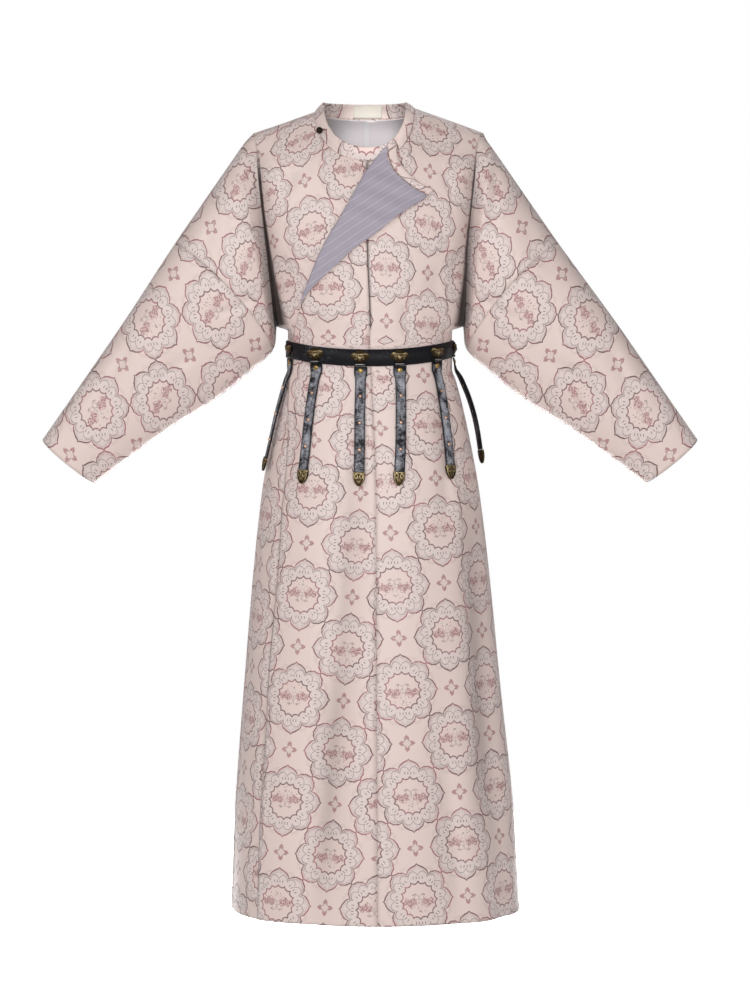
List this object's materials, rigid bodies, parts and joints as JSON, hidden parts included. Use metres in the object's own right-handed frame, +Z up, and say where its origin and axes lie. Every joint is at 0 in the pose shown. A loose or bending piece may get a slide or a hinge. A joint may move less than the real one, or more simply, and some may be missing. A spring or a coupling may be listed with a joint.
{
  "type": "round-collar robe with a leather strap belt",
  "caption": "Ankle-length round-collar robe, hollow as worn, with a turned-down front corner and a leather belt with hanging straps.",
  "frame": {"origin": "middle of the neck opening, level with the top of the collar at the back, where the wearer's neck and shoulders hold the robe", "axes": "+Z up along the robe's length; the wearer faces -Y; +X to the wearer's left"},
  "size_m": [1.071, 0.3454, 1.3216],
  "materials": {
    "brocade": "satin, cream pink ground with dark red and greyish pink medallions",
    "collar_cloth": "satin, plain cream",
    "striped_lining": "smooth, thin pale stripes on lavender grey",
    "pale_lining": "smooth, pale lavender grey",
    "label_cloth": "woven, cream, bare",
    "dark_metal": "dark, half gloss",
    "black_leather": "mottled, half gloss",
    "bronze": "aged, dark in the recesses",
    "copper": "half gloss"
  },
  "bodies": {
    "root": {"back_lining": "pale_lining", "belt_band": "black_leather", "belt_clasp": "bronze", "belt_mount_1": "bronze", "belt_mount_2": "bronze", "belt_mount_3": "bronze", "belt_mount_4": "bronze", "belt_mount_5": "bronze", "belt_mount_6": "bronze", "body_left": "brocade", "body_right": "brocade", "collar_band": "collar_cloth", "collar_turned": "collar_cloth", "flap_cloth": "brocade", "flap_lining": "striped_lining", "front_lap": "brocade", "inner_lap": "brocade", "knot_button": "dark_metal", "neck_label": "label_cloth", "rivet_large_1": "bronze", "rivet_large_2": "bronze", "rivet_large_3": "bronze", "rivet_large_4": "bronze", "rivet_large_5": "bronze", "rivet_large_6": "bronze", "rivet_small_1_1": "copper", "rivet_small_1_2": "copper", "rivet_small_1_3": "copper", "rivet_small_2_1": "copper", "rivet_small_2_2": "copper", "rivet_small_2_3": "copper", "rivet_small_3_1": "copper", "rivet_small_3_2": "copper", "rivet_small_3_3": "copper", "rivet_small_4_1": "copper", "rivet_small_4_2": "copper", "rivet_small_4_3": "copper", "rivet_small_5_1": "copper", "rivet_small_5_2": "copper", "rivet_small_5_3": "copper", "rivet_small_6_1": "copper", "rivet_small_6_2": "copper", "rivet_small_6_3": "copper", "sleeve_left": "brocade", "sleeve_right": "brocade", "strap_1": "black_leather", "strap_2": "black_leather", "strap_3": "black_leather", "strap_4": "black_leather", "strap_5": "black_leather", "strap_6": "black_leather", "strap_tip_1": "bronze", "strap_tip_2": "bronze", "strap_tip_3": "bronze", "strap_tip_4": "bronze", "strap_tip_5": "bronze", "strap_tip_6": "bronze"}
  },
  "joints": []
}
